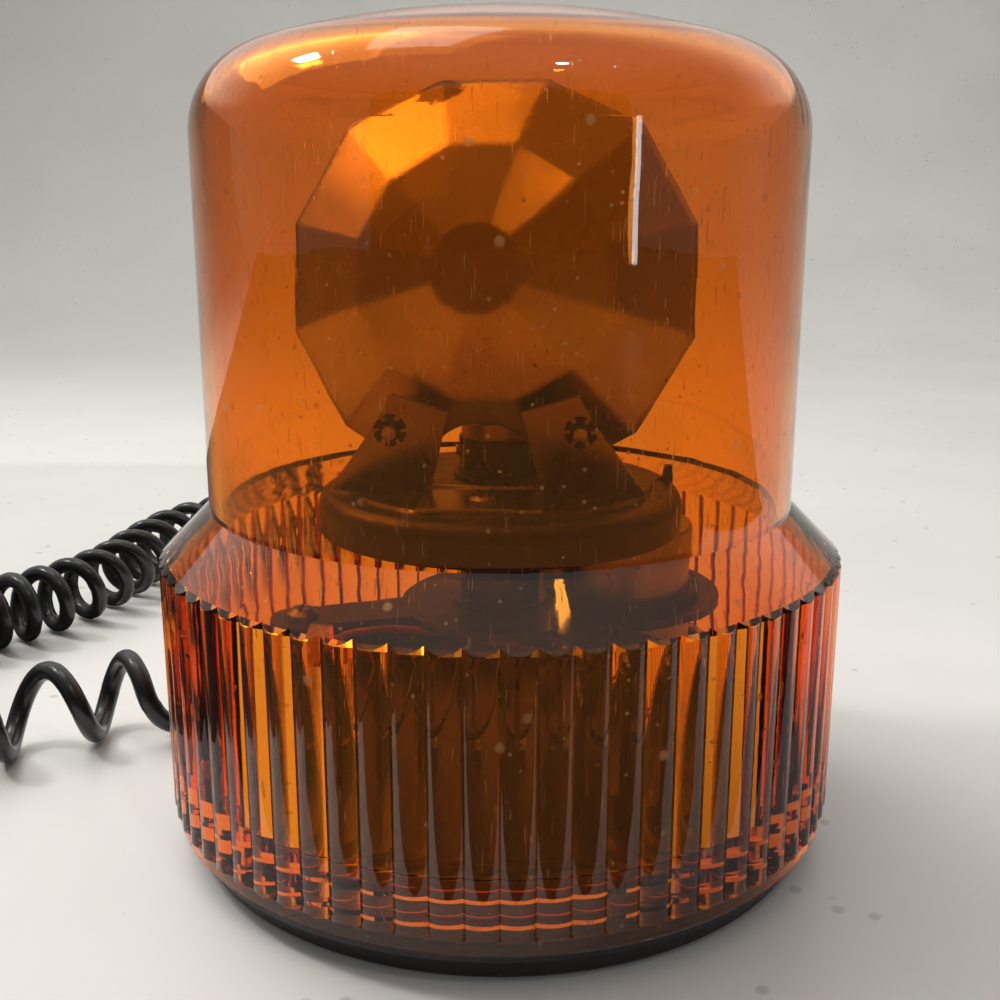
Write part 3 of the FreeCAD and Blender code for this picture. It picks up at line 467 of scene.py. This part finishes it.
def make_materials():
    made = {
        "amber_lens": amber_lens(),
        "clear_glass": clear_glass(),
        "bright_reflector": bright_metal("bright_reflector", (0.46, 0.44, 0.41), 0.25, 0.0003, 0.35, 0.0018,
                                         stain=STAIN),
        "bright_sheet": bright_metal("bright_sheet", (0.30, 0.285, 0.26), 0.26, 0.0001, 0.4, 0.0004),
    }
    for slot, (colour, rough, options) in PLAIN_SURFACES.items():
        made[slot] = plain_surface(slot, colour, rough, **options)
    return made


def paint_nodes():
    for row in frame["record"]["subparts"]:
        piece = frame["nodes"][row["node"]]
        piece.data.materials.clear()
        piece.data.materials.append(MATERIALS[row["material_slot"]])


MATERIALS = make_materials()
paint_nodes()
CORD.data.materials.append(MATERIALS["cord_jacket"])


# ---------------------------------------------------------------- stage
STAGE_HALF = 4.0
FLOOR_Z = -0.00005
SWEEP_START = 0.75         # where the pale floor starts to curve up behind the object
SWEEP_R = 0.62
SWEEP_STEPS = 24
FLOOR_PALE = (0.76, 0.745, 0.72), (0.81, 0.795, 0.77)
FLOOR_PAINTED_SHADE = (0.30, 0.295, 0.28)                     # painted shade, darker behind and to the left
FLOOR_DOTS = (0.30, 0.28, 0.25)

# dark cards in front and at the sides, seen only in reflections, so that they don't whiten the lens
CARDS = {
    "card_front": ((-0.12, -3.9, 0.001), (0.30, -0.090, 0.001)),
    "card_left": ((-3.9, -3.9, 0.001), (-0.12, 0.35, 0.001)),
    "card_right": ((0.30, -3.9, 0.001), (3.9, 0.10, 0.001)),
    "card_wall": ((-3.9, -3.9, 0.001), (3.9, -3.9, 2.6)),
}

SKY_FRONT = (0.20, 0.20, 0.195)
SKY_BEHIND = (0.33, 0.325, 0.305)
SKY_ABOVE = (0.50, 0.49, 0.465)
SKY_WINDOW = (0.95, 0.93, 0.89)                       # high behind the object

MIDDLE = (0, 0, 0.08)
WHITE = (1, 1, 1)
WARM = (1.0, 0.985, 0.96)
# name: where, what it faces, its two sizes, watts, colour, and whether it is seen as a glint
LIGHTS = {
    "soft": ((-0.75, 0.45, 1.1), MIDDLE, (0.9, 0.9), 10.0, WARM, False),
    "glow": ((-0.26, 0.14, 1.2), MIDDLE, (0.6, 0.4), 1.6, WHITE, True),
    "key": ((-0.82, 0.18, 1.04), MIDDLE, (0.14, 0.14), 3.5, WARM, True),
    "front": ((0.35, -0.60, 1.12), (0, 0, 0.1), (0.07, 0.05), 0.7, WHITE, True),
    "strip": ((0.90, -0.86, 0.148), (0, 0, 0.12), (0.045, 0.155), 0.17, WHITE, True),
}


def make_floor():
    """Pale floor that curves up behind the object, with painted shade darkening it behind and to the left."""
    outline = [(-STAGE_HALF, FLOOR_Z), (SWEEP_START, FLOOR_Z)]
    for i in range(1, SWEEP_STEPS + 1):
        a = math.radians(90 * i / SWEEP_STEPS)
        outline.append((SWEEP_START + SWEEP_R * math.sin(a), SWEEP_R * (1 - math.cos(a))))
    points = [Vector((x, y, z)) for y, z in outline for x in (-STAGE_HALF, STAGE_HALF)]
    strips = [(2 * i, 2 * i + 1, 2 * i + 3, 2 * i + 2) for i in range(len(outline) - 1)]
    floor = add_mesh("floor", points, strips)
    material, tree, shader = new_material("floor")
    pale = blend_colour(tree, spread(tree, noise(tree, 0.12, 4.0), 0.3, 0.7), *FLOOR_PALE)
    across = separate(tree, place(tree))
    # painted shade: the floor's colour darkens behind and to the left
    shade = times(tree, spread(tree, across["X"], 0.5, -0.7, 0.0, 0.64), spread(tree, across["Y"], 0.2, 0.9))
    pale = blend_colour(tree, shade, pale, FLOOR_PAINTED_SHADE)
    dots = times(tree, specks(tree, 0.006, 0.10), 0.4)
    link(tree, blend_colour(tree, dots, pale, FLOOR_DOTS), shader.inputs["Base Color"])
    shader.inputs["Roughness"].default_value = 0.38
    link(tree, bump(tree, noise(tree, 0.004, 4.0), 0.00003), shader.inputs["Normal"])
    floor.data.materials.append(material)


def make_cards():
    for name, (low, high) in CARDS.items():
        corners = [Vector(low), Vector((high[0], low[1], low[2])), Vector(high), Vector((low[0], high[1], high[2]))]
        card = add_mesh(name, corners, [(0, 1, 2, 3)], False)
        card.data.materials.append(MATERIALS["black_rubber"])
        card.visible_camera = False
        card.visible_diffuse = False
        card.visible_transmission = False
        card.visible_shadow = False


def make_surround():
    """Pale surround, dimmer in front and brightest high behind."""
    world = bpy.data.worlds.new("surround")
    bpy.context.scene.world = world
    world.use_nodes = True
    tree = world.node_tree
    direction = separate(tree, node(tree, "ShaderNodeTexCoord").outputs["Generated"])
    tone = blend_colour(tree, spread(tree, direction["Y"], -0.35, 0.35), SKY_FRONT, SKY_BEHIND)
    tone = blend_colour(tree, spread(tree, direction["Z"], 0.45, 1.0), tone, SKY_ABOVE)
    window = times(tree, spread(tree, direction["Y"], 0.1, 0.6), spread(tree, direction["Z"], 0.2, 0.3))
    tone = blend_colour(tree, window, tone, SKY_WINDOW)
    background = tree.nodes["Background"]
    link(tree, tone, background.inputs["Color"])
    background.inputs["Strength"].default_value = 1.0


def make_lights():
    for name, (where, target, sizes, power, colour, glints) in LIGHTS.items():
        data = bpy.data.lights.new(name, "AREA")
        data.shape = "RECTANGLE"
        data.size, data.size_y = sizes
        data.energy = power
        data.color = colour
        lamp = bpy.data.objects.new(name, data)
        lamp.location = where
        lamp.rotation_euler = (Vector(target) - Vector(where)).to_track_quat("-Z", "Y").to_euler()
        lamp.visible_glossy = glints
        bpy.context.scene.collection.objects.link(lamp)


make_floor()
make_cards()
make_surround()
make_lights()
bpy.context.scene.view_settings.view_transform = "Standard"
